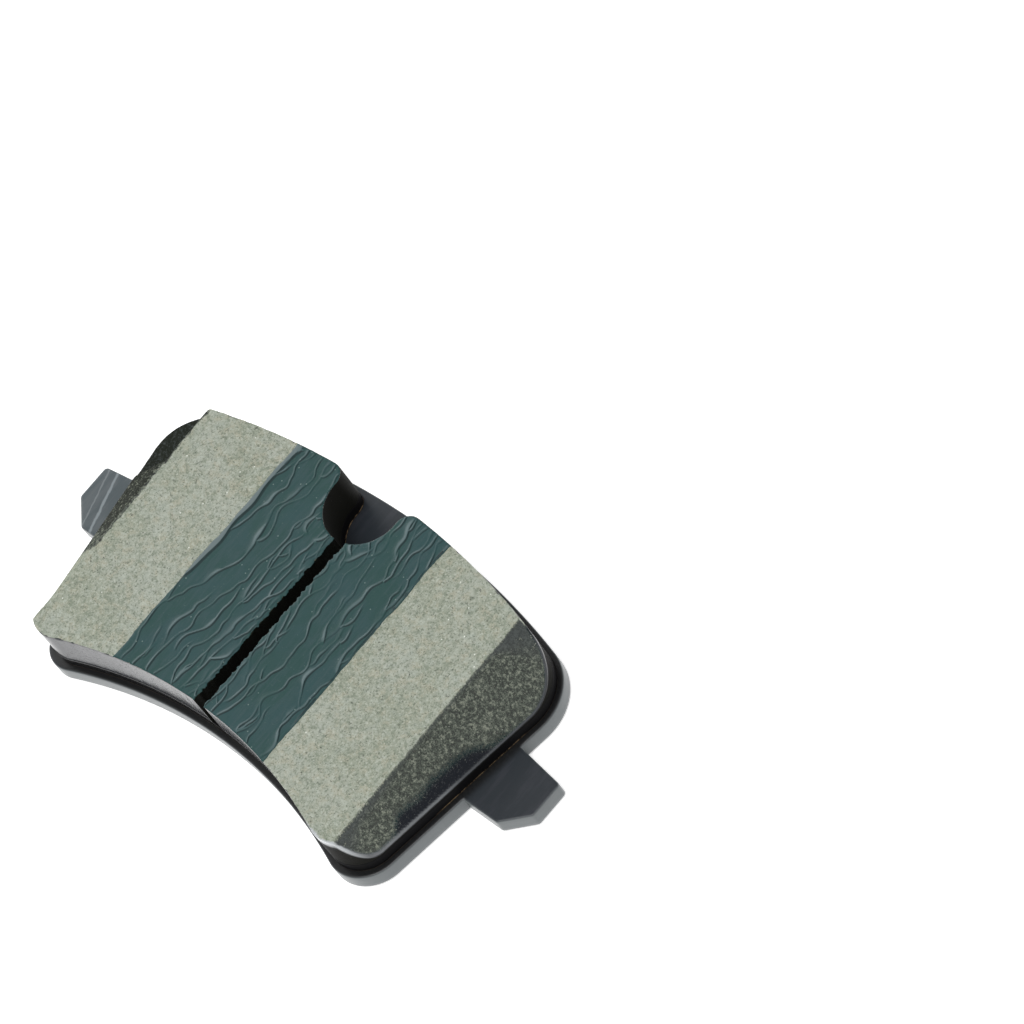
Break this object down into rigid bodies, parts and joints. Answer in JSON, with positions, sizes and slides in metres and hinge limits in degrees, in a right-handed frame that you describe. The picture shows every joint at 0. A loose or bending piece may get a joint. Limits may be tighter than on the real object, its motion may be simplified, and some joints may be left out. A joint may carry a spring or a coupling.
{
  "type": "brake pad",
  "caption": "Disc brake pad: eared steel backing plate, split friction lining with a slot, a notch and chamfered ends, coating strips and a rear shim.",
  "frame": {"origin": "bottom centre of the box around the pad, on the back of the shim", "axes": "+X along the pad from its left ear to its right ear, +Y away from the wheel's axis (the lining's convex outer edge), +Z from the shim to the friction face"},
  "size_m": [0.164, 0.0786, 0.0198],
  "materials": {
    "painted_plate": "satin black paint on stamped steel",
    "friction": "dry ground friction compound with dark and bright grains",
    "underlayer": "dark moulded compound under black paint",
    "bonding_film": "cured brown-black adhesive",
    "coating": "dark teal bedding-in coating, dragged while wet",
    "shim_rubber": "fine matt rubber",
    "shim_steel": "cold rolled steel",
    "shim_glue": "pressure-sensitive adhesive"
  },
  "bodies": {
    "root": {"shim_rubber_skin": "shim_rubber", "shim_steel_core": "shim_steel", "shim_glue_layer": "shim_glue", "backing_plate": "painted_plate", "bonding_film": "bonding_film", "underlayer": "underlayer", "friction_block_left": "friction", "friction_block_right": "friction", "coating_strip_left": "coating", "coating_strip_right": "coating"}
  },
  "joints": []
}
